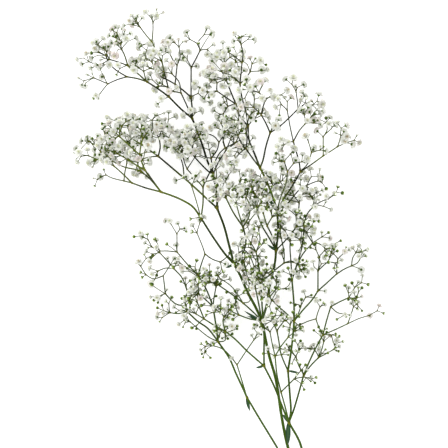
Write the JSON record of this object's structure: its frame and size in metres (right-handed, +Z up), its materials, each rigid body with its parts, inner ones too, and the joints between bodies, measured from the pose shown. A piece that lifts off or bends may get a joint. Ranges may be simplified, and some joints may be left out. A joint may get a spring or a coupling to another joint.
{
  "type": "gypsophila stem",
  "caption": "Cut gypsophila stem lying on a surface: a thin forking green stem with narrow leaves and airy sprays of small white double blooms and buds.",
  "frame": {"origin": "centre of the bounding box's footprint, on the surface that the cut stem lies on", "axes": "+Z up from the surface; +Y along the stem, from its cut end towards its top sprays; +X to the right, seen from above with the top sprays away from the viewer"},
  "size_m": [0.3093, 0.5013, 0.1227],
  "materials": {
    "stem": "smooth green stem, slightly waxy, paler at its knuckles",
    "leaf": "matt blue-green leaf",
    "bloom": "matt white petals on thin green stalks"
  },
  "bodies": {
    "root": {"main_stem": "stem", "spray_back": "bloom", "spray_centre_tuft": "bloom", "spray_crown_back": "bloom", "spray_crown_fan": "bloom", "spray_crown_left": "bloom", "spray_crown_mid": "bloom", "spray_crown_right": "bloom", "spray_crown_twig": "bloom", "spray_hub_bud": "bloom", "spray_hub_left": "bloom", "spray_hub_low_left": "bloom", "spray_hub_right": "bloom", "spray_hub_twig": "bloom", "spray_hub_up": "bloom", "spray_inner_high": "bloom", "spray_inner_low": "bloom", "spray_left_high": "bloom", "spray_left_reach": "bloom", "spray_low_left": "bloom", "spray_low_right": "bloom", "spray_low_sprig": "bloom", "spray_low_tuft": "bloom", "spray_mid_left": "bloom", "spray_mid_twig": "bloom", "spray_right_fan": "bloom", "spray_right_high": "bloom", "spray_right_out": "bloom", "spray_right_reach": "bloom", "spray_right_up": "bloom", "spray_top": "bloom", "spray_top_inner": "bloom", "spray_top_left_low": "bloom", "spray_top_mid": "bloom", "spray_top_right": "bloom", "spray_upper_back": "bloom", "spray_upper_left": "bloom", "spray_upper_right": "bloom", "leaf_centre": "leaf", "leaf_cross": "leaf", "leaf_cross_left": "leaf", "leaf_crown": "leaf", "leaf_hub_long": "leaf", "leaf_hub_short": "leaf", "leaf_inner": "leaf", "leaf_left_low": "leaf", "leaf_right_mid": "leaf", "leaf_upper": "leaf"}
  },
  "joints": []
}
